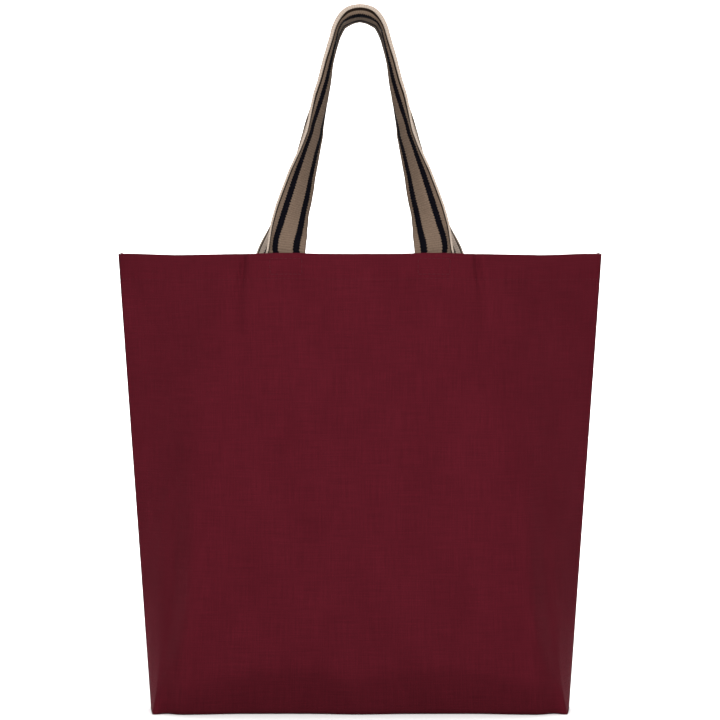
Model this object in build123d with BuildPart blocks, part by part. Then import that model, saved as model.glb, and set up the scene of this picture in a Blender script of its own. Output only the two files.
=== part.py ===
from build123d import *
import math
import os

# A boxed-bottom canvas tote bag with two twisted webbing handles, in millimetres.
# +Z is up, the front of the bag faces -Y, and the origin is on the floor under the middle of the base.

# Driving dimensions of the bag
canvas = 1.0  # thickness of the cloth
bag_height = 420.0  # floor to hem
base_width = 380.0  # corner to corner
base_depth = 106.0  # front fold to rear fold
base_bow = 1.5  # how far the middle of each side edge stands out
base_roll = 30.0  # radius by which the front and rear roll under into the base
mouth_width = 450.0  # side seam to side seam
mouth_depth = 138.0  # front hem to rear hem
mouth_straight = 210.0  # width of the hem's straight middle, between the two creases
hem_depth = 25.0
seam_allowance = 10.0

# Driving dimensions of the handles
strap_width = 38.0
strap_thickness = 2.0
sewn_depth = 30.0  # length of strap on the inside of the hem
sewn_proud = 2.0  # length of sewn strap that stands above the hem
loop_lift = 4.0  # from the hem up to where the free loop starts
loop_rise = 228.0  # from the loop's start to the middle of its top, in its leaning plane
loop_clearance = 0.5  # between each loop's top and the middle plane of the bag
settled_twist = 76.0  # degrees of twist that a leg soon reaches on its way up
twist_reach = 60.0  # length of leg over which it does most of that
leg_stations = 24  # sections along each half of a loop

# Control points of each loop's left half in its own leaning plane: sideways from the middle, and up from its start.
front_leg = [(-67.5, 0.0), (-67.5, 30.0), (-18.0, 150.0), (-34.0, loop_rise), (0.0, loop_rise)]
rear_leg = [(-78.5, 0.0), (-78.5, 20.0), (-36.0, 80.0), (-38.0, loop_rise), (0.0, loop_rise)]

# Driving dimensions of the stitching
thread = 0.6
thread_proud = 0.2  # how far a stitch stands out of the cloth
hem_row_drop = 23.0  # from the edge of the hem down to its row of stitches
box_width = 30.0  # box of stitches on each sewn end
box_depth = 14.0
box_drop = 12.0  # from the edge of the hem down to the middle of the box
seam_row = 3.0  # from the outer face in to the seam's row of stitches
row_gap = 1.5  # by which a row of stitches stops short of the row it would meet

# Worked out from those
hem_thickness = 2 * canvas
panel_lean = math.atan((mouth_depth - base_depth) / 2 / bag_height)
strap_y = mouth_depth / 2 - hem_thickness - strap_thickness / 2  # middle of the strap where it leaves the hem

os.makedirs("parts", exist_ok=True)


def write(piece, label):
    piece.part.label = label
    export_step(piece.part, f"parts/{label}.step")


def between(low, high, share):
    return low + (high - low) * share


def outline(height):
    """The six corners of the bag's outer face at one height."""
    share = height / bag_height
    corner_x = between(base_width, mouth_straight, share) / 2
    corner_y = between(base_depth, mouth_depth, share) / 2
    side_x = between(base_width + 2 * base_bow, mouth_width, share) / 2
    return [
        (-corner_x, -corner_y),
        (corner_x, -corner_y),
        (side_x, 0),
        (corner_x, corner_y),
        (-corner_x, corner_y),
        (-side_x, 0),
    ]


def bag_form(bottom, top, inset, roll=0.0):
    """The closed form of the bag between two heights, set in from its outer face."""
    with BuildPart() as form:
        for height in (bottom, top):
            with BuildSketch(Plane.XY.offset(height)):
                Polygon(*outline(height), align=None)
                if inset:
                    offset(amount=-inset, kind=Kind.INTERSECTION)
        loft(ruled=True)
        if roll:
            fillet(form.edges().group_by(Axis.Z)[0].filter_by(Axis.X), radius=roll)
    return form.part


def seam_profile(inset):
    """The outline of the bag in its middle plane, set in from the outer face and open at the mouth."""
    low, high = base_width / 2 + base_bow - inset, mouth_width / 2 - inset
    return [(-low, inset), (low, inset), (high, bag_height), (-high, bag_height)]


# Front and rear panels: each is half of the bag, with its hem turned in and its seam allowances inside.
outer = bag_form(0, bag_height, 0, base_roll)
inside = bag_form(canvas, bag_height - hem_depth, canvas, base_roll - canvas)
inside_hem = bag_form(bag_height - hem_depth, bag_height, hem_thickness)
for side, kept, outward in (("front", Keep.TOP, 1), ("rear", Keep.BOTTOM, -1)):
    with BuildPart() as panel:
        add(outer)
        add(inside, mode=Mode.SUBTRACT)
        add(inside_hem, mode=Mode.SUBTRACT)
        split(bisect_by=Plane.XZ, keep=kept)
        with BuildSketch(Plane.XZ):
            Polygon(*seam_profile(canvas / 2), align=None)
            Polygon(*seam_profile(canvas + seam_allowance), align=None, mode=Mode.SUBTRACT)
        extrude(amount=outward * canvas)
    write(panel, f"{side}_panel")


# Handle loops. Each lies about a plane that leans in over the mouth, and its strap twists about its own middle line:
# flat to the hem at the foot of each leg, and at right angles to the leaning plane at the top of the loop.
def leaning_plane(turned):
    """The plane of a loop: the front one, or the rear one, which is the front one turned half round the bag."""
    top_y = loop_clearance + strap_width / 2
    lean = math.asin((strap_y - top_y) / loop_rise)
    facing = (0, turned * math.cos(lean), math.sin(lean))
    return Plane((0, turned * strap_y, bag_height + loop_lift), x_dir=(-turned, 0, 0), z_dir=facing)


def twist_at(distance, leg_length):
    """Degrees by which the strap has turned at a distance up its leg."""
    settled = settled_twist * (1 - math.exp(-distance / twist_reach))
    over_the_top = (1 - math.cos(math.pi * distance / leg_length)) / 2
    return settled + (90 - settled) * over_the_top**4


def strap_section(middle_line, share, plane):
    """The plane of the strap's section at a share of the way up a leg, its x pointing at the inner edge."""
    twist = math.radians(twist_at(share * middle_line.length, middle_line.length))
    along = middle_line.tangent_at(share)
    inward = along.cross(plane.z_dir)
    across = inward * math.cos(twist) - plane.z_dir * math.sin(twist)
    return Plane(middle_line.position_at(share), x_dir=across, z_dir=along)


for side, leg, turned in (("front", front_leg, -1), ("rear", rear_leg, 1)):
    plane = leaning_plane(turned)
    with BuildPart() as handle:
        with BuildLine(plane) as middle:
            Bezier(*leg)
        middle_line = middle.edge()
        for station in range(leg_stations + 1):
            with BuildSketch(strap_section(middle_line, station / leg_stations, plane)):
                Rectangle(strap_width, strap_thickness)
        loft(ruled=True)
        mirror(about=Plane.YZ)
    print(side, "loop length", round(2 * middle_line.length, 1))
    write(handle, f"{side}_handle")


# Sewn ends of the handles, flat on the inside of the hem, each with a box of stitches through strap and hem.
for side, leg, turned in (("front", front_leg, -1), ("rear", rear_leg, 1)):
    facing = (0, turned * math.cos(panel_lean), -math.sin(panel_lean))
    hem_face = Plane((0, turned * mouth_depth / 2, bag_height), x_dir=(-turned, 0, 0), z_dir=facing)
    spacing = -leg[0][0]
    for end, sideways in (("left", -1), ("right", 1)):
        x = -turned * sideways * spacing
        with BuildPart() as sewn_end:
            with BuildSketch(hem_face.offset(-hem_thickness)):
                with Locations((x, (sewn_proud - sewn_depth) / 2)):
                    Rectangle(strap_width, sewn_depth + sewn_proud)
            extrude(amount=-strap_thickness)
        write(sewn_end, f"{side}_handle_{end}_end")
        with BuildPart() as box_stitching:
            with BuildSketch(hem_face.offset(thread_proud)):
                with Locations((x, -box_drop)):
                    Rectangle(box_width, box_depth)
                    Rectangle(box_width - 2 * thread, box_depth - 2 * thread, mode=Mode.SUBTRACT)
            extrude(amount=-(hem_thickness + strap_thickness + 2 * thread_proud))
        write(box_stitching, f"{side}_{end}_handle_stitching")

# Hem stitching: one row along each panel, through both layers of its hem.
hem_row = bag_height - hem_row_drop
for side, turned in (("front", -1), ("rear", 1)):
    with BuildPart() as hem_stitching:
        with BuildSketch(Plane.XY.offset(hem_row)):
            Polygon(*outline(hem_row), align=None)
            offset(amount=thread_proud, kind=Kind.INTERSECTION)
            with BuildSketch(mode=Mode.SUBTRACT):
                Polygon(*outline(hem_row), align=None)
                offset(amount=-(hem_thickness - thread_proud), kind=Kind.INTERSECTION)
            with Locations((0, -turned * mouth_depth / 2)):
                Rectangle(2 * mouth_width, mouth_depth + 2 * row_gap, mode=Mode.SUBTRACT)
        extrude(amount=thread)
    write(hem_stitching, f"{side}_hem_stitching")

# Seam stitching, inside the bag, through both seam allowances close to the seam: down each side and along the base.
seam_reach = canvas + thread_proud
for end, sideways in (("left", -1), ("right", 1)):
    with BuildPart() as side_stitching:
        with BuildSketch(Plane.XZ.offset(-seam_reach)):
            low_corner, high_corner = seam_profile(seam_row)[1:3]
            with BuildLine():
                Polyline(
                    (sideways * low_corner[0], seam_row),
                    (sideways * high_corner[0], bag_height),
                    (sideways * (high_corner[0] - thread), bag_height),
                    (sideways * (low_corner[0] - thread), seam_row),
                    close=True,
                )
            make_face()
        extrude(amount=2 * seam_reach)
    write(side_stitching, f"{end}_side_stitching")
with BuildPart() as base_stitching:
    with BuildSketch(Plane.XZ.offset(-seam_reach)):
        with Locations((0, seam_row)):
            Rectangle(base_width - 2 * (seam_row + row_gap), thread)
    extrude(amount=2 * seam_reach)
write(base_stitching, "base_stitching")

# Corner stitching: the short seams that box the two bottom corners, through the foot of each side gusset.
for end, sideways in (("left", -1), ("right", 1)):
    with BuildPart() as corner_stitching:
        with BuildSketch(Plane.XY.offset(seam_row)):
            Polygon(*outline(seam_row), align=None)
            offset(amount=thread_proud, kind=Kind.INTERSECTION)
            with BuildSketch(mode=Mode.SUBTRACT):
                Polygon(*outline(seam_row), align=None)
                offset(amount=-(canvas - thread_proud), kind=Kind.INTERSECTION)
            with Locations((sideways * base_width / 2, 0)):
                Rectangle(4 * seam_row, base_depth - 2 * base_roll, mode=Mode.INTERSECT)
        extrude(amount=thread)
    write(corner_stitching, f"{end}_corner_stitching")
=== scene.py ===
import math

import bmesh
import bpy
import numpy as np
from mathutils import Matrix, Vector


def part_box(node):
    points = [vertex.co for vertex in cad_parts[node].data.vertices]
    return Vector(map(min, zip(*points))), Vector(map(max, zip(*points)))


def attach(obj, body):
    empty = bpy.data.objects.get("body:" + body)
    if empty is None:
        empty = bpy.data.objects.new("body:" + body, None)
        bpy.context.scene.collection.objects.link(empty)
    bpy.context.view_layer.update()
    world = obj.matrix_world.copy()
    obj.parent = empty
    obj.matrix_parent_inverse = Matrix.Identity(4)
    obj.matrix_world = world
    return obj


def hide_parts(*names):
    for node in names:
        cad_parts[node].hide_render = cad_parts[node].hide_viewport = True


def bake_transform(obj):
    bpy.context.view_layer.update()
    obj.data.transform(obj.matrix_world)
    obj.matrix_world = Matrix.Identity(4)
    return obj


# The canvas tote bag, in metres. The front panel faces -Y, and the rear panel is the front one turned half
# round the bag. The rear handle is built facing forwards too, on its own outline, and turned the same way.
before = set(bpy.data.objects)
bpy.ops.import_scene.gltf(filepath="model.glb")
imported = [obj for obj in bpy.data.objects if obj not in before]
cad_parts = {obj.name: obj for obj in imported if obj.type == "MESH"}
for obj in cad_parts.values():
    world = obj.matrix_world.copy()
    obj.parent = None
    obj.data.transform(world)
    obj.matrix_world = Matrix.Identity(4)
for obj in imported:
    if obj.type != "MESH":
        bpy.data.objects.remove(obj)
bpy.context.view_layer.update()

# ---------------------------------------------------------------- sizes
# The height and the mouth come from the frame.
panel_low, panel_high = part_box("front_panel")
HEIGHT = panel_high[2]
MOUTH_HALF = panel_high[0]
MOUTH_DEPTH = -panel_low[1]
BASE_HALF = 0.190  # half the width of the base
BASE_DEPTH = 0.053  # half the depth of the base
STRAIGHT_HALF = 0.105  # half the straight middle of the mouth
FLAT_HALF = 0.2434  # half the finished width of a panel's cloth
HEM = 0.025  # depth of the turned-in hem
HEM_ROW = 0.023  # from the edge down to the hem's stitching
HEM_FOLD = 0.001  # radius of the fold along the edge
CLOTH = 0.0009  # thickness of the canvas
ALLOWANCE = 0.010  # width of a seam allowance
SEAM_GAP = 0.00005  # from the middle of a seam to each panel
SEAM_STEP = 0.0004  # by which a side seam's allowances are stepped aside

# How the cloth lies
SIDE_FULL = 0.0045  # how far the sides swell low down
TUCK_START = 0.053  # height at which the foot starts to slope in
TUCK_EASE = 0.018  # height over which that slope grows
TUCK_SLOPE = 0.50
FOLD_RADIUS = 0.004  # of the fold between the front and the base
FOOT_FULL = 0.018  # how far the front swells low down
CREASE_AT = 0.1075  # from the middle to the crease beside each handle

# Webbing: its five bands across, with a painted shadow line and a cord along the outer edge, the cord painted
# cream as a lit edge
STRAP_WIDE = 0.038
STRAP_THICK = 0.0019
STRIPES = ((0.0060, 0.01235), (0.0260, 0.03235))
SHADOW_LINE_WIDE = 0.0034  # width of the painted shadow line beside the cord at the top of the loop
CORD = 0.0021  # radius of the cord at the top of the loop
SEWN = 0.030  # length of each sewn end
LOOP_TOP = 0.6490
TOP_LEAN = -0.0205  # y of the front strap's middle at the top of the loop
RIB = 0.0022  # pitch of the ribs across the webbing
ROOTS = {"front": 0.0675, "rear": 0.0785}  # from the middle to each sewn end

# Outer edge of each strap's left leg as (x, z), from above the hem to the top of the loop
EDGES = {
    "front": [
        (-0.0838, 0.424), (-0.0822, 0.437), (-0.0806, 0.447), (-0.0760, 0.464), (-0.0706, 0.479),
        (-0.0638, 0.497), (-0.0550, 0.516), (-0.0483, 0.534), (-0.0456, 0.548), (-0.0419, 0.566),
        (-0.0370, 0.581), (-0.0325, 0.599), (-0.0269, 0.6175), (-0.0236, 0.6300), (-0.0198, 0.6380),
        (-0.0132, 0.6456), (-0.0060, 0.6484), (0, LOOP_TOP),
    ],
    "rear": [
        (-0.0980, 0.424), (-0.0940, 0.434), (-0.0867, 0.4475), (-0.0825, 0.4555), (-0.0765, 0.471),
        (-0.0705, 0.486), (-0.0640, 0.504), (-0.0585, 0.523), (-0.0552, 0.534), (-0.0500, 0.552),
        (-0.0430, 0.571), (-0.0375, 0.588), (-0.0322, 0.604), (-0.0262, 0.620), (-0.0215, 0.6317),
        (-0.0178, 0.6400), (-0.0110, 0.6475), (0, 0.6505),
    ],
}
# How far each band is turned away from facing forwards, in degrees, at heights up the leg. None stands for
# the curl of the outer band just above the hem, which each handle has its own value for.
BAND_MIDDLES = (0.0030, 0.0092, 0.0190, 0.0292, 0.0352)
ROOT_CURL = {"front": 70, "rear": 12}
TURNS = [
    (0.416, (0, 0, 0, 0, 0)),
    (0.426, (None, 16, 0, 0, 0)),
    (0.436, (None, 18, 6, 8, 16)),
    (0.447, (48, 20, 20, 28, 40)),
    (0.464, (38, 22, 39, 33, 60)),
    (0.480, (50, 22, 48, 38, 58)),
    (0.498, (59, 35, 56, 50, 58)),
    (0.518, (74, 53, 63, 57, 66)),
    (0.540, (74, 56, 69, 72, 81)),
    (0.566, (45, 49, 76, 92, 96)),
    (0.600, (47, 70, 88, 96, 98)),
    (0.615, (54, 77, 93, 98, 98)),
    (0.628, (60, 82, 96, 98, 98)),
    (0.638, (55, 80, 95, 98, 98)),
    (0.645, (22, 76, 90, 98, 98)),
    (LOOP_TOP, (6, 76, 89, 98, 98)),
]
THREAD = 0.00020  # radius of the sewing thread
SEAM_ROW = 0.003  # from a seam's edge to its stitching


# ---------------------------------------------------------------- helpers
def smooth(x):
    x = np.clip(x, 0, 1)
    return x * x * (3 - 2 * x)


def bump(x, width):
    return np.exp(-((x / width) ** 2))


def unit(v):
    return v / np.maximum(np.linalg.norm(v, axis=-1, keepdims=True), 1e-12)


def half_turn(points):
    return points * np.array([-1.0, -1.0, 1.0])


def new_piece(name, points, faces, material, uv=None):
    mesh = bpy.data.meshes.new(name)
    mesh.from_pydata(points.tolist(), [], faces)
    if uv is not None:
        layer = mesh.uv_layers.new(name="cloth")
        loops = np.zeros(len(mesh.loops), np.int32)
        mesh.loops.foreach_get("vertex_index", loops)
        layer.data.foreach_set("uv", uv[loops].astype(np.float32).ravel())
    mesh.polygons.foreach_set("use_smooth", np.ones(len(mesh.polygons), bool))
    mesh.materials.append(material)
    piece = bpy.data.objects.new(name, mesh)
    bpy.context.scene.collection.objects.link(piece)
    return piece


def grid_faces(rows, columns, start=0, wrap=False):
    faces = []
    last = columns if wrap else columns - 1
    for r in range(rows - 1):
        for c in range(last):
            a = start + r * columns + c
            b = start + r * columns + (c + 1) % columns
            faces.append((a, b, b + columns, a + columns))
    return faces


def close_seams(piece):
    """Join the edges of a piece that lie on each other, and turn all its faces outwards."""
    joined = bmesh.new()
    joined.from_mesh(piece.data)
    bmesh.ops.remove_doubles(joined, verts=joined.verts, dist=1e-6)
    bmesh.ops.recalc_face_normals(joined, faces=joined.faces)
    joined.to_mesh(piece.data)
    joined.free()


# ---------------------------------------------------------------- the shape of a panel
# q is a place across the cloth from the middle of the panel, and h a height up it.
def share_of(h):
    return np.clip(h / HEIGHT, 0, 1)


def section(q, h):
    """x and y of the front panel's outer face: straight across the front, then back to the side seam."""
    share = share_of(h)
    straight = BASE_HALF + (STRAIGHT_HALF - BASE_HALF) * share
    depth = BASE_DEPTH + (MOUTH_DEPTH - BASE_DEPTH) * share
    side = BASE_HALF + SIDE_FULL + (MOUTH_HALF - BASE_HALF - SIDE_FULL) * share
    wing = np.hypot(side - straight, depth)
    along = np.abs(q) / FLAT_HALF * (straight + wing)
    past = (along - straight) / wing
    x = np.where(past < 0, along, straight + (side - straight) * past)
    y = np.where(past < 0, -depth, -depth * (1 - past))
    return np.sign(q) * x, y


def soft_section(q, h):
    """The section with its corner rounded: tight at the base, wide half way up and closer again at the hem.

    It is the average of the section over a reach either side, mirrored at the side seam.
    """
    share = share_of(h)
    reach = 0.004 + 0.038 * smooth(share / 0.35) - 0.026 * smooth((share - 0.7) / 0.3)
    x, y = np.zeros_like(q), np.zeros_like(q)
    steps = np.linspace(-1, 1, 9)
    for step in steps:
        at = q + step * reach
        over = np.maximum(np.abs(at) - FLAT_HALF, 0)
        inside = np.sign(at) * (np.abs(at) - 2 * over)
        sx, sy = section(inside, h)
        ex, ey = section(np.sign(at) * FLAT_HALF, h)
        x += np.where(over > 0, 2 * ex - sx, sx) / len(steps)
        y += np.where(over > 0, 2 * ey - sy, sy) / len(steps)
    return x, y


def relief(q, h):
    """How far the cloth stands out of that section, or sinks into it where this is negative."""
    below = HEIGHT - h
    side = np.abs(q)
    # the crease beside each handle, shallower at the very edge, and the soft ridges on both sides of it
    crease_at = CREASE_AT + 0.009 * smooth(below / 0.06)
    crease_deep = 0.0050 * np.exp(-below / 0.042) + 0.0014 * np.exp(-below / 0.25)
    crease_deep = crease_deep * (0.5 + 0.5 * smooth(below / 0.014))
    crease_wide = 0.0034 + 0.011 * smooth(below / 0.12)
    f = -crease_deep * bump(side - crease_at, crease_wide)
    f += 0.0016 * np.exp(-below / 0.10) * bump(side - crease_at + 0.028, 0.016)
    f += 0.0012 * np.exp(-below / 0.12) * bump(side - crease_at - 0.032, 0.020)
    # the slack of the whole front, and uneven swells
    f += 0.0030 * np.sin(math.pi * share_of(h)) * np.cos(np.clip(q / 0.17, -1, 1) * math.pi / 2) ** 2
    f += 0.0009 * np.sin(q * 23 + 1.1) * np.sin(h * 17 + 0.4) * smooth(below / 0.08)
    f += 0.0005 * np.sin(q * 61 + h * 13 + 2.0) * np.sin(h * 39 - q * 21 + 0.9) * smooth(below / 0.05)
    # the strap behind the hem, and the hem's stitching pulled in
    f += 0.0006 * bump(side - 0.066, 0.022) * smooth((0.036 - below) / 0.008)
    f -= 0.00035 * bump(below - HEM_ROW, 0.0016)
    f += 0.0002 * bump(below - HEM_ROW + 0.006, 0.004)
    return f * smooth((FLAT_HALF - side) / 0.02)


def tuck(q, z):
    """How far the foot of the front slopes in under the bag, less how far the front swells above it."""
    inset = BASE_HALF - np.abs(q)
    start = TUCK_START - 0.010 * bump(q, 0.030) - 0.018 * smooth((np.abs(q) - 0.09) / 0.09)
    u = np.clip((start - z) / TUCK_EASE, 0, 1)
    deep = TUCK_EASE * (u**3 - u**4 / 2) + np.maximum(start - TUCK_EASE - z, 0)
    full = FOOT_FULL * smooth((0.30 - z) / 0.24) * smooth(inset / 0.030)
    return TUCK_SLOPE * deep * smooth(inset / 0.015) - full


def hem_rise(q):
    """How far the edge of the mouth rises: most at the side seams, and a little over the straps."""
    ends = 0.0024 * smooth((np.abs(q) - 0.17) / 0.07)
    return 0.0007 + ends + 0.0008 * bump(np.abs(q) - 0.066, 0.025)


def front_face(q, t):
    """Points of the front panel's outer face; t is the way up from the fold, negative under the base."""
    q, t = np.broadcast_arrays(np.asarray(q, float), np.asarray(t, float))
    radius = 0.0005 + FOLD_RADIUS * smooth((BASE_HALF - np.abs(q)) / 0.02)
    radius = np.where(np.abs(q) > BASE_HALF + 1e-6, 0, radius)
    turn = np.clip((t + radius) / np.maximum(2 * radius, 1e-9), 0, 1) * math.pi / 2
    z = np.where(t >= radius, t, radius * (1 - np.cos(turn)))
    x, y = soft_section(q, z)
    step = 0.0015
    x1, y1 = soft_section(q - step, z)
    x2, y2 = soft_section(q + step, z)
    out = unit(np.stack([y2 - y1, x1 - x2], axis=-1))
    f = relief(q, z)
    x = x + out[..., 0] * f
    y = y + out[..., 1] * f + tuck(q, z)
    foot_y = y + radius
    under = np.clip((-t - radius) / (BASE_DEPTH - radius), 0, 1)
    base_y = foot_y + (-SEAM_GAP - foot_y) * under
    wall_y = y + radius * (1 - np.sin(turn)) * (t < radius)
    y = np.where(t < -radius, base_y, wall_y)
    y = np.minimum(y, -SEAM_GAP)
    x = x * (1 + SIDE_FULL / BASE_HALF * under)
    z = z + hem_rise(q) * share_of(z) ** 6
    return np.stack([x, y, z], axis=-1)


def front_normal(q, t):
    q, t = np.broadcast_arrays(np.asarray(q, float), np.asarray(t, float))
    step = 0.001
    across = front_face(q + step, t) - front_face(q - step, t)
    up = front_face(q, np.minimum(t + step, HEIGHT)) - front_face(q, t - step)
    return unit(np.cross(across, up))


# ---------------------------------------------------------------- canvas panels
NEAR_FOLD = 0.009  # the rows are close together this near the fold between front and base


def panel_mesh():
    """Points, faces and cloth coordinates of the front panel: base, wall, turned-in hem and allowances."""
    spacing = 0.0026
    half = [np.arange(0, 0.094, 1.15 * spacing), np.arange(0.094, 0.130, 0.55 * spacing)]
    half = np.concatenate([*half, np.linspace(0.130, FLAT_HALF, round(0.113 / spacing))])
    q = np.concatenate([-half[:0:-1], half])
    q[np.argmin(np.abs(q + BASE_HALF))] = -BASE_HALF
    q[np.argmin(np.abs(q - BASE_HALF))] = BASE_HALF
    near_fold = np.linspace(0, NEAR_FOLD, 10)[:-1]
    wall_t = np.concatenate([near_fold, np.linspace(NEAR_FOLD, HEIGHT - HEM_FOLD, round(HEIGHT / spacing))])
    points, uv, faces = [], [], []

    def add(rows_points, rows_uv):
        start = sum(len(p) for p in points)
        rows, cols = rows_points.shape[:2]
        points.append(rows_points.reshape(-1, 3))
        uv.append(rows_uv.reshape(-1, 2))
        faces.extend(grid_faces(rows, cols, start))

    # the wall, the folded edge and the turned-in hem, as one strip of rows
    grid_q, grid_t = np.meshgrid(q, wall_t)
    wall = front_face(grid_q, grid_t)
    top = front_face(q, np.full_like(q, HEIGHT - HEM_FOLD))
    out = front_normal(q, np.full_like(q, HEIGHT - 0.004)) * np.array([1, 1, 0])
    out = unit(out)
    rows, down = [wall], []
    for angle in np.linspace(0, math.pi, 7)[1:]:
        rise = HEM_FOLD * math.sin(angle) * np.array([0, 0, 1.0])
        rows.append((top + out * HEM_FOLD * (math.cos(angle) - 1) + rise)[None])
        down.append(HEIGHT - HEM_FOLD + HEM_FOLD * angle)
    for drop in np.linspace(0, HEM - HEM_FOLD, 9)[1:]:
        at = front_face(q, np.full_like(q, HEIGHT - HEM_FOLD - drop))
        rows.append((at - out * 2 * HEM_FOLD)[None])
        down.append(HEIGHT + 2 * HEM_FOLD + drop)
    body = np.concatenate(rows)
    v = np.concatenate([wall_t, down])

    # seam allowances: the ends of those rows, turned inwards beside the other panel's, and stepped so that
    # no light comes straight through
    left, right = [], []
    for k in (1, 2, 3, 4):
        inward = k / 4 * ALLOWANCE
        for side, keep in ((-1, left), (1, right)):
            edge = body[:, 0 if side < 0 else -1].copy()
            edge[:, 0] -= side * inward
            edge[:, 1] = side * SEAM_STEP - SEAM_GAP
            keep.append(edge[:, None])
    body = np.concatenate(left[::-1] + [body] + right, axis=1)
    ends = np.array([0.25, 0.5, 0.75, 1.0]) * ALLOWANCE + FLAT_HALF
    u = np.concatenate([-ends[::-1], q, ends])
    grid_u, grid_v = np.meshgrid(u, v)
    add(body, np.stack([grid_u, grid_v], axis=-1))

    # the base half, from the fold to the base seam, and its allowance standing up inside
    inner = (q >= -BASE_HALF - 1e-9) & (q <= BASE_HALF + 1e-9)
    base_q = q[inner]
    base_t = np.concatenate([-near_fold, np.linspace(-NEAR_FOLD, -BASE_DEPTH, 24)])
    grid_q, grid_t = np.meshgrid(base_q, base_t)
    base = front_face(grid_q, grid_t)
    ripple = 1 + np.sin(grid_q * 57) * np.sin(grid_q * 23 + 1)
    lift = 0.0004 * smooth((base[..., 1] + 0.034) / 0.02) * ripple
    base[..., 2] += lift
    allowance = []
    for k in (1, 2, 3, 4):
        row = base[-1].copy()
        row[:, 1] = -SEAM_GAP
        row[:, 2] += k / 4 * ALLOWANCE
        allowance.append(row[None])
    base = np.concatenate([base, *allowance])
    v = np.concatenate([base_t, -BASE_DEPTH - ALLOWANCE * np.array([0.25, 0.5, 0.75, 1.0])])
    grid_u, grid_v = np.meshgrid(base_q, v)
    add(base[:, ::-1], np.stack([grid_u, grid_v], axis=-1)[:, ::-1])
    return np.concatenate(points), faces, np.concatenate(uv)


def make_panel(side, points, faces, uv, material):
    place = points if side == "front" else half_turn(points)
    piece = new_piece(f"{side}_canvas", place, faces, material, uv)
    close_seams(piece)
    thick = piece.modifiers.new("cloth", "SOLIDIFY")
    thick.thickness = CLOTH
    thick.offset = -1
    return piece


# ---------------------------------------------------------------- webbing
def eased(values, steps):
    """Values along a leg with their corners rounded; the far end is the top of the loop."""
    kernel = np.hanning(2 * steps + 3)
    kernel /= kernel.sum()
    pad = len(kernel) // 2
    first = np.repeat(values[:1], pad, axis=0)
    padded = mirrored_end(first, values, pad)
    return np.stack([np.convolve(column, kernel, "valid") for column in padded.T], axis=1)


def mirrored_end(first, values, pad):
    signs = np.ones(values.shape[1])
    if values.shape[1] == 2:
        signs[0] = -1
    return np.concatenate([first, values, values[-2 : -2 - pad : -1] * signs])


def leg_path(side, spacing):
    """Outer edge of a strap's left leg, from its sewn end to the top of the loop, as evenly spaced (x, z)."""
    sewn = [(-ROOTS[side] - STRAP_WIDE / 2, HEIGHT - SEWN), (-ROOTS[side] - STRAP_WIDE / 2, HEIGHT - 0.006)]
    path = np.array(sewn + EDGES[side])
    for _ in range(2):
        gaps = np.linalg.norm(np.diff(path, axis=0), axis=1)
        along = np.concatenate([[0], np.cumsum(gaps)])
        at = np.linspace(0, along[-1], round(along[-1] / spacing) + 1)
        path = np.stack([np.interp(at, along, path[:, k]) for k in (0, 1)], axis=1)
        start = path[0].copy()
        path = eased(path, round(0.005 / spacing))
        path[0] = start
        path[-1, 0] = 0
    return path


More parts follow.
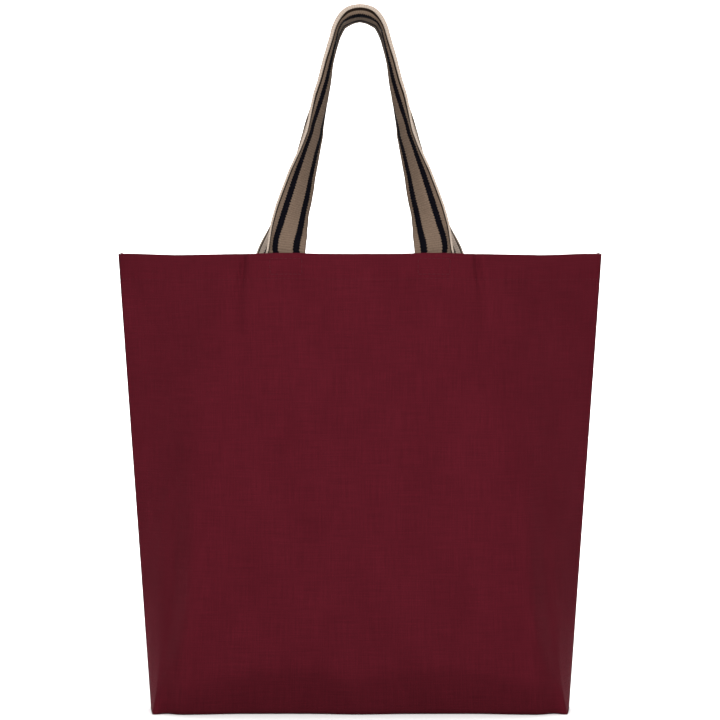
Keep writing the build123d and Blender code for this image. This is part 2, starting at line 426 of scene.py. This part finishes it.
def strap_rings(side):
    """Rings round a front strap's section all along it, with cloth coordinates round and along."""
    spacing = RIB / 6
    edge = leg_path(side, spacing)
    heights = np.array([height for height, _ in TURNS])
    turned = [[ROOT_CURL[side] if angle is None else angle for angle in turns] for _, turns in TURNS]
    turned = np.radians(np.array(turned))
    turns = np.stack([np.interp(edge[:, 1], heights, turned[:, k]) for k in range(5)], axis=1)
    turns = eased(turns, round(0.004 / spacing))
    tangent = unit(np.gradient(edge, axis=0))
    tangent[-1] = (1, 0)
    inward = np.stack([tangent[:, 1], -tangent[:, 0]], axis=1)

    # the middle of the strap: lying behind the hem, then leaning in to the other handle
    sewn_h = np.linspace(HEIGHT - SEWN, HEIGHT - 0.008, 30)
    behind = 0.0021 + STRAP_THICK / 2
    sewn_y = front_face(np.full_like(sewn_h, -ROOTS[side]), sewn_h)[:, 1] + behind
    lean_h = np.array([HEIGHT + 0.004, LOOP_TOP])
    lean_y = [sewn_y[-1] + 0.0055, TOP_LEAN]
    middle = np.interp(edge[:, 1], np.concatenate([sewn_h, lean_h]), np.concatenate([sewn_y, lean_y]))
    middle = eased(middle[:, None], round(0.004 / spacing))[:, 0]

    # across the strap: turn every part of the width by the angle of its band
    wide = np.linspace(0, STRAP_WIDE, 24)
    turn = np.stack([np.interp(wide, BAND_MIDDLES, row) for row in turns])
    step = wide[1]
    half = (turn[:, 1:] + turn[:, :-1]) / 2
    zero = np.zeros((len(edge), 1))
    run = np.concatenate([zero, np.cumsum(np.cos(half) * step, axis=1)], axis=1)
    back = np.concatenate([zero, np.cumsum(np.sin(half) * step, axis=1)], axis=1)
    back = back - back[:, 12:13] + middle[:, None]
    length = np.arange(len(edge)) * spacing

    def place(run, back):
        return np.stack([edge[:, :1] + inward[:, :1] * run, back, edge[:, 1:] + inward[:, 1:] * run], axis=-1)

    rib = 0.00015 * np.cos(2 * math.pi * length / RIB)[:, None]
    thick = (STRAP_THICK / 2 + rib) * np.clip((STRAP_WIDE - wide) / 0.0012, 0.35, 1)
    front = place(run + np.sin(turn) * thick, back - np.cos(turn) * thick)
    rear = place(run - np.sin(turn) * thick, back + np.cos(turn) * thick)

    # the cord round the outer edge
    cord = []
    first = turn[:, :1]
    heights = (HEIGHT - 0.002, HEIGHT + 0.010, HEIGHT + 0.14, LOOP_TOP)
    radius = np.interp(edge[:, 1:], heights, (STRAP_THICK / 2, 0.45 * CORD, 0.55 * CORD, CORD))
    for angle in np.radians(np.linspace(-125, 125, 10)):
        out = -radius * (0.35 + math.cos(angle)) - rib * 0.5
        side_way = -radius * math.sin(angle)
        cord.append(
            place(
                run[:, :1] + out * np.cos(first) - side_way * np.sin(first),
                back[:, :1] + out * np.sin(first) + side_way * np.cos(first),
            )
        )
    cord = np.concatenate(cord, axis=1)
    ring = np.concatenate([cord, front[:, 1:], rear[:, :0:-1], cord[:, :1]], axis=1)
    u = np.concatenate([np.linspace(-0.004, 0, 10), wide[1:], 0.078 - wide[:0:-1], [0.078]])
    flip = np.array([-1, 1, 1])
    ring = np.concatenate([ring, ring[-2::-1] * flip])
    from_top = np.concatenate([length - length[-1], length[-1] - length[-2::-1]])
    grid_u, grid_v = np.meshgrid(u, from_top)
    return ring, np.stack([grid_u, grid_v], axis=-1)


def make_strap(side, material):
    ring, uv = strap_rings(side)
    rows, columns = ring.shape[:2]
    faces = grid_faces(rows, columns)
    faces.append(tuple(range(columns - 1))[::-1])
    faces.append(tuple(range((rows - 1) * columns, rows * columns - 1)))
    points = ring.reshape(-1, 3)
    if side == "rear":
        points = half_turn(points)
    piece = new_piece(f"{side}_strap", points, faces, material, uv.reshape(-1, 2))
    close_seams(piece)
    return piece


# ---------------------------------------------------------------- stitches
def stitch_row(places, outs, stitch=0.0030, gap=0.0007, radius=THREAD):
    """Raised stitches along a path: each is a short thread, bowed out of the cloth and sunk at both ends."""
    gaps = np.linalg.norm(np.diff(places, axis=0), axis=1)
    along = np.concatenate([[0], np.cumsum(gaps)])
    count = max(1, int(along[-1] / (stitch + gap)))
    pitch = along[-1] / count
    points, faces = [], []
    rings, sides = 5, 6
    for i in range(count):
        ends = np.linspace(i * pitch + gap / 2, (i + 1) * pitch - gap / 2, rings)
        line = np.stack([np.interp(ends, along, places[:, k]) for k in range(3)], axis=1)
        out = unit(np.stack([np.interp(ends, along, outs[:, k]) for k in range(3)], axis=1))
        forward = unit(np.gradient(line, axis=0))
        beside = unit(np.cross(out, forward))
        share = np.linspace(-1, 1, rings)
        swell = (1 - 0.55 * share**4)[:, None, None] * radius
        bow = (0.7 * (1 - share**2) - 0.40)[:, None] * radius
        angle = np.linspace(0, 2 * math.pi, sides, endpoint=False)
        circle = np.cos(angle)[None, :, None] * beside[:, None] + np.sin(angle)[None, :, None] * out[:, None]
        ring = (line + out * bow)[:, None] + circle * swell
        start = len(points) * rings * sides
        points.append(ring.reshape(-1, 3))
        faces += grid_faces(rings, sides, start, wrap=True)
        faces.append(tuple(start + k for k in range(sides))[::-1])
        faces.append(tuple(start + (rings - 1) * sides + k for k in range(sides)))
    return np.concatenate(points), faces


def join_rows(rows):
    points, faces, start = [], [], 0
    for row_points, row_faces in rows:
        points.append(row_points)
        faces += [tuple(start + k for k in face) for face in row_faces]
        start += len(row_points)
    return np.concatenate(points), faces


def make_stitching(name, rows, material, node, side="front"):
    points, faces = join_rows(rows)
    if side == "rear":
        points = half_turn(points)
    piece = new_piece(name, points, faces, material)
    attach(piece, "bag")
    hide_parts(node)
    return piece


def hem_rows():
    q = np.linspace(-FLAT_HALF + 0.002, FLAT_HALF - 0.002, 400)
    t = np.full_like(q, HEIGHT - HEM_ROW)
    places, outs = front_face(q, t), front_normal(q, t)
    inside = places - outs * 0.0031
    return [stitch_row(places, outs), stitch_row(inside, -outs)]


def box_rows(q):
    """The square of stitches at a sewn end, on both sides of the hem."""
    wide, low, high = 0.0145, HEIGHT - 0.019, HEIGHT - 0.005
    corners = [(q - wide, high), (q + wide, high), (q + wide, low), (q - wide, low), (q - wide, high)]
    rows = []
    for (q1, t1), (q2, t2) in zip(corners, corners[1:]):
        line_q, line_t = np.linspace(q1, q2, 30), np.linspace(t1, t2, 30)
        places, outs = front_face(line_q, line_t), front_normal(line_q, line_t)
        rows.append(stitch_row(places, outs))
        rows.append(stitch_row(places - outs * (0.0022 + STRAP_THICK + 0.0001), -outs))
    return rows


def side_rows(sign):
    t = np.linspace(0.004, HEIGHT - 0.002, 300)
    edge = front_face(np.full_like(t, sign * FLAT_HALF), t)
    rows = []
    for way in (-1, 1):
        places = edge.copy()
        places[:, 0] -= sign * SEAM_ROW
        places[:, 1] = sign * SEAM_STEP + way * (SEAM_GAP + CLOTH)
        outs = np.zeros_like(places)
        outs[:, 1] = way
        rows.append(stitch_row(places, outs))
    return rows


def base_rows():
    q = np.linspace(-BASE_HALF + 0.004, BASE_HALF - 0.004, 300)
    rows = []
    for way in (-1, 1):
        places = np.stack([q, np.full_like(q, way * (SEAM_GAP + CLOTH)), np.full_like(q, SEAM_ROW)], axis=1)
        outs = np.zeros_like(places)
        outs[:, 1] = way
        rows.append(stitch_row(places, outs))
    return rows


def corner_rows(sign):
    y = np.linspace(-0.046, 0.046, 90)
    full = SIDE_FULL * (1 - np.abs(y) / BASE_DEPTH)
    places = np.stack([sign * (BASE_HALF + 0.0001 + full), y, np.full_like(y, 0.0012)], axis=1)
    outs = np.zeros_like(places)
    outs[:, 0] = sign
    return [stitch_row(places, outs)]


# ---------------------------------------------------------------- materials
CANVAS_DARK = (0.0260, 0.0020, 0.0040)
CANVAS_LIGHT = (0.0690, 0.0054, 0.0106)
CANVAS_DEEP = (0.0300, 0.0022, 0.0044)
# Webbing ground: one webbing in two painted copies, taupe as in shade and cream as lit
PAINTED_SHADE_TAUPE_DARK = (0.074, 0.051, 0.037)
PAINTED_SHADE_TAUPE_LIGHT = (0.146, 0.102, 0.074)
PAINTED_LIT_CREAM_DARK = (0.235, 0.185, 0.148)
PAINTED_LIT_CREAM_LIGHT = (0.360, 0.298, 0.250)
INK = (0.0016, 0.0014, 0.0027)
# the brown of the painted shadow line beside the cord
PAINTED_SHADOW_BROWN = (0.010, 0.0065, 0.0045)
THREAD_DARK = (0.026, 0.0020, 0.0040)
THREAD_LIGHT = (0.048, 0.0040, 0.0078)


def new_material(name):
    material = bpy.data.materials.new(name)
    material.use_nodes = True
    tree = material.node_tree
    tree.nodes.clear()
    output = tree.nodes.new("ShaderNodeOutputMaterial")
    shader = tree.nodes.new("ShaderNodeBsdfPrincipled")
    tree.links.new(shader.outputs["BSDF"], output.inputs["Surface"])
    return material, tree, shader


def math_node(tree, operation, a, b=None, c=None, clamp=False):
    node = tree.nodes.new("ShaderNodeMath")
    node.operation = operation
    node.use_clamp = clamp
    for socket, value in zip(node.inputs, (a, b, c)):
        if isinstance(value, (int, float)):
            socket.default_value = value
        elif value is not None:
            tree.links.new(value, socket)
    return node.outputs[0]


def cloth_coordinates(tree):
    uv = tree.nodes.new("ShaderNodeUVMap")
    uv.uv_map = "cloth"
    split = tree.nodes.new("ShaderNodeSeparateXYZ")
    tree.links.new(uv.outputs[0], split.inputs[0])
    return uv.outputs[0], split.outputs[0], split.outputs[1]


def noise(tree, vector, scale, stretch=(1, 1, 1), detail=2.0):
    mapping = tree.nodes.new("ShaderNodeMapping")
    mapping.inputs["Scale"].default_value = stretch
    tree.links.new(vector, mapping.inputs["Vector"])
    node = tree.nodes.new("ShaderNodeTexNoise")
    node.inputs["Scale"].default_value = scale
    node.inputs["Detail"].default_value = detail
    tree.links.new(mapping.outputs[0], node.inputs["Vector"])
    return node.outputs["Fac"]


def mix_colour(tree, factor, a, b):
    node = tree.nodes.new("ShaderNodeMix")
    node.data_type = "RGBA"
    if isinstance(factor, (int, float)):
        node.inputs[0].default_value = factor
    else:
        tree.links.new(factor, node.inputs[0])
    for socket, value in ((node.inputs[6], a), (node.inputs[7], b)):
        if isinstance(value, tuple):
            socket.default_value = (*value, 1)
        else:
            tree.links.new(value, socket)
    return node.outputs[2]


def add_bump(tree, shader, height, distance, strength=1.0):
    node = tree.nodes.new("ShaderNodeBump")
    node.inputs["Distance"].default_value = distance
    node.inputs["Strength"].default_value = strength
    tree.links.new(height, node.inputs["Height"])
    tree.links.new(node.outputs[0], shader.inputs["Normal"])


def canvas_material():
    material, tree, shader = new_material("burgundy_canvas")
    vector, u, v = cloth_coordinates(tree)
    pitch = 0.00062
    warp = math_node(tree, "SINE", math_node(tree, "MULTIPLY", u, 2 * math.pi / pitch))
    weft = math_node(tree, "SINE", math_node(tree, "MULTIPLY", v, 2 * math.pi / pitch))
    weave = math_node(tree, "MULTIPLY", warp, weft)
    slub_across = noise(tree, vector, 900, (0.035, 1, 1))
    slub_up = noise(tree, vector, 900, (1, 0.035, 1))
    slubs = math_node(tree, "ADD", slub_across, slub_up)
    cloud = noise(tree, vector, 24, (1, 0.6, 1), detail=4.0)
    tone = math_node(tree, "MULTIPLY_ADD", slubs, 0.55, -0.05)
    base = mix_colour(tree, tone, CANVAS_DARK, CANVAS_LIGHT)
    mottle = math_node(tree, "MULTIPLY", math_node(tree, "SUBTRACT", cloud, 0.38, clamp=True), 0.9)
    mottled = mix_colour(tree, mottle, base, CANVAS_DEEP)
    tree.links.new(mottled, shader.inputs["Base Color"])
    rough = math_node(tree, "MULTIPLY_ADD", cloud, 0.10, 0.84)
    tree.links.new(rough, shader.inputs["Roughness"])
    shader.inputs["Specular IOR Level"].default_value = 0.03
    shader.inputs["Sheen Weight"].default_value = 0.15
    shader.inputs["Sheen Roughness"].default_value = 0.35
    shader.inputs["Sheen Tint"].default_value = (0.40, 0.035, 0.065, 1)
    height = math_node(tree, "ADD", math_node(tree, "MULTIPLY", weave, 0.35), slubs)
    add_bump(tree, shader, height, 0.00018, 0.8)
    return material


def band(tree, place, low, high, soft=0.00022):
    """1 where place lies between low and high, with a soft edge inside them."""
    rise = math_node(tree, "DIVIDE", math_node(tree, "SUBTRACT", place, low), soft, clamp=True)
    fall = math_node(tree, "DIVIDE", math_node(tree, "SUBTRACT", high, place), soft, clamp=True)
    return math_node(tree, "MULTIPLY", rise, fall)


def webbing_material():
    material, tree, shader = new_material("striped_webbing")
    vector, u, v = cloth_coordinates(tree)
    jitter = noise(tree, vector, 1500, (0.15, 0.55, 1), detail=1.0)
    teeth = math_node(tree, "SINE", math_node(tree, "MULTIPLY", v, 2 * math.pi / 0.0026))
    jagged = math_node(tree, "MULTIPLY", math_node(tree, "SUBTRACT", jitter, 0.5), 0.0013)
    jagged = math_node(tree, "ADD", jagged, math_node(tree, "MULTIPLY", teeth, 0.00042))
    # u is negative on the cord, runs over the striped face, and then back over the plain inner face. The cord
    # and the inner face are painted cream as lit, the striped face taupe as in shade
    lit_inner_face = math_node(tree, "GREATER_THAN", u, 0.0402)
    folded = math_node(tree, "MINIMUM", u, math_node(tree, "SUBTRACT", 0.078, u))
    place = math_node(tree, "ADD", folded, jagged)
    stripes = math_node(tree, "MAXIMUM", *[band(tree, place, *stripe) for stripe in STRIPES])
    # painted shadow: a brown line beside the cord, wide at the top of the loop and narrower down the legs
    narrowing = math_node(tree, "MULTIPLY", math_node(tree, "ABSOLUTE", v), 0.0075)
    line = band(tree, folded, 0.0, math_node(tree, "SUBTRACT", SHADOW_LINE_WIDE, narrowing))
    cord = math_node(tree, "LESS_THAN", u, 0.0)
    # painted light: the cord and the inner face take the lit cream, the rest the shaded taupe
    pale = math_node(tree, "MAXIMUM", lit_inner_face, cord)
    yarn = noise(tree, vector, 1400, (1, 0.25, 1))
    shaded_taupe = mix_colour(tree, yarn, PAINTED_SHADE_TAUPE_DARK, PAINTED_SHADE_TAUPE_LIGHT)
    lit_cream = mix_colour(tree, yarn, PAINTED_LIT_CREAM_DARK, PAINTED_LIT_CREAM_LIGHT)
    ground = mix_colour(tree, pale, shaded_taupe, lit_cream)
    # the painted shadow line, then the printed stripes over it
    lined = mix_colour(tree, line, ground, PAINTED_SHADOW_BROWN)
    striped = mix_colour(tree, stripes, lined, INK)
    groove = math_node(tree, "SINE", math_node(tree, "MULTIPLY", v, 2 * math.pi / RIB))
    shade = math_node(tree, "MULTIPLY_ADD", groove, -0.10, 0.10)
    colour = mix_colour(tree, shade, striped, (0, 0, 0))
    tree.links.new(colour, shader.inputs["Base Color"])
    rough = math_node(tree, "MULTIPLY_ADD", yarn, 0.15, 0.78)
    tree.links.new(rough, shader.inputs["Roughness"])
    shader.inputs["Specular IOR Level"].default_value = 0.03
    fine = math_node(tree, "SINE", math_node(tree, "MULTIPLY", u, 2 * math.pi / 0.0009))
    height = math_node(tree, "ADD", math_node(tree, "MULTIPLY", fine, 0.3), yarn)
    add_bump(tree, shader, height, 0.00020, 0.8)
    return material


def thread_material():
    material, tree, shader = new_material("burgundy_thread")
    coordinates = tree.nodes.new("ShaderNodeTexCoord")
    twist = noise(tree, coordinates.outputs["Object"], 2500, detail=1.0)
    colour = mix_colour(tree, twist, THREAD_DARK, THREAD_LIGHT)
    tree.links.new(colour, shader.inputs["Base Color"])
    shader.inputs["Roughness"].default_value = 0.55
    shader.inputs["Specular IOR Level"].default_value = 0.10
    add_bump(tree, shader, twist, 0.0001, 0.6)
    return material


# ---------------------------------------------------------------- camera, floor and light
CAMERA_AWAY = 3.0
CAMERA_HIGH = 0.324
PHOTO_WIDTH = 0.6545


def make_camera():
    camera = bpy.data.objects.new("camera", bpy.data.cameras.new("camera"))
    bpy.context.scene.collection.objects.link(camera)
    camera.location = (0, -CAMERA_AWAY, CAMERA_HIGH)
    camera.rotation_euler = (math.pi / 2, 0, 0)
    camera.data.sensor_width = 36
    camera.data.lens = 36 * (CAMERA_AWAY - MOUTH_DEPTH) / PHOTO_WIDTH
    camera.data.clip_end = 50
    bpy.context.scene.camera = camera


def make_floor():
    """A pale floor that curves up into a backdrop behind the bag."""
    profile = [(-8.0, 0.0), (2.5, 0.0)]
    for k in range(1, 17):
        angle = k / 16 * math.pi / 2
        profile.append((2.5 + 1.5 * math.sin(angle), 1.5 * (1 - math.cos(angle))))
    profile.append((4.0, 8.0))
    points = [(x, y, z - 0.0004) for y, z in profile for x in (-9.0, 9.0)]
    faces = grid_faces(len(profile), 2)
    mesh = bpy.data.meshes.new("studio_floor")
    mesh.from_pydata(points, [], faces)
    mesh.polygons.foreach_set("use_smooth", np.ones(len(mesh.polygons), bool))
    floor = bpy.data.objects.new("studio_floor", mesh)
    bpy.context.scene.collection.objects.link(floor)
    material, tree, shader = new_material("studio_white")
    shader.inputs["Base Color"].default_value = (0.86, 0.86, 0.86, 1)
    shader.inputs["Roughness"].default_value = 0.9
    mesh.materials.append(material)


def area_light(name, place, target, size, power):
    data = bpy.data.lights.new(name, "AREA")
    data.shape = "DISK"
    data.size = size
    data.energy = power
    lamp = bpy.data.objects.new(name, data)
    bpy.context.scene.collection.objects.link(lamp)
    lamp.location = place
    lamp.rotation_euler = (Vector(target) - Vector(place)).to_track_quat("-Z", "Y").to_euler()


def make_lights():
    bag_middle = (0, 0, 0.3)
    area_light("left", (-0.75, -2.9, 1.7), bag_middle, size=1.2, power=80)
    area_light("right", (0.75, -2.9, 1.7), bag_middle, size=1.2, power=76)
    area_light("above", (0, 0.6, 3.0), bag_middle, size=1.6, power=66)
    area_light("backdrop", (0, 2.0, 2.6), (0, 4.0, 1.0), size=2.0, power=160)
    world = bpy.data.worlds.new("studio")
    bpy.context.scene.world = world
    world.use_nodes = True
    background = world.node_tree.nodes["Background"]
    background.inputs["Color"].default_value = (1, 1, 1, 1)
    background.inputs["Strength"].default_value = 0.60


# ---------------------------------------------------------------- the bag
make_camera()
make_floor()
make_lights()
bpy.context.scene.view_settings.view_transform = "Standard"

canvas = canvas_material()
webbing = webbing_material()
thread = thread_material()

panel_points, panel_faces, panel_uv = panel_mesh()
for side in ("front", "rear"):
    panel = make_panel(side, panel_points, panel_faces, panel_uv, canvas)
    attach(panel, "bag")
    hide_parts(f"{side}_panel")
    make_stitching(f"{side}_hem_stitches", hem_rows(), thread, f"{side}_hem_stitching", side)

for side in ("front", "rear"):
    strap = make_strap(side, webbing)
    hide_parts(f"{side}_handle", f"{side}_handle_left_end", f"{side}_handle_right_end")
    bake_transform(strap)
    for end, sign in (("left", -1), ("right", 1)):
        q = sign * ROOTS[side] * (1 if side == "front" else -1)
        node = f"{side}_{end}_handle_stitching"
        make_stitching(f"{side}_{end}_box_stitches", box_rows(q), thread, node, side)

for end, sign in (("left", -1), ("right", 1)):
    make_stitching(f"{end}_side_stitches", side_rows(sign), thread, f"{end}_side_stitching")
    make_stitching(f"{end}_corner_stitches", corner_rows(sign), thread, f"{end}_corner_stitching")
make_stitching("base_stitches", base_rows(), thread, "base_stitching")
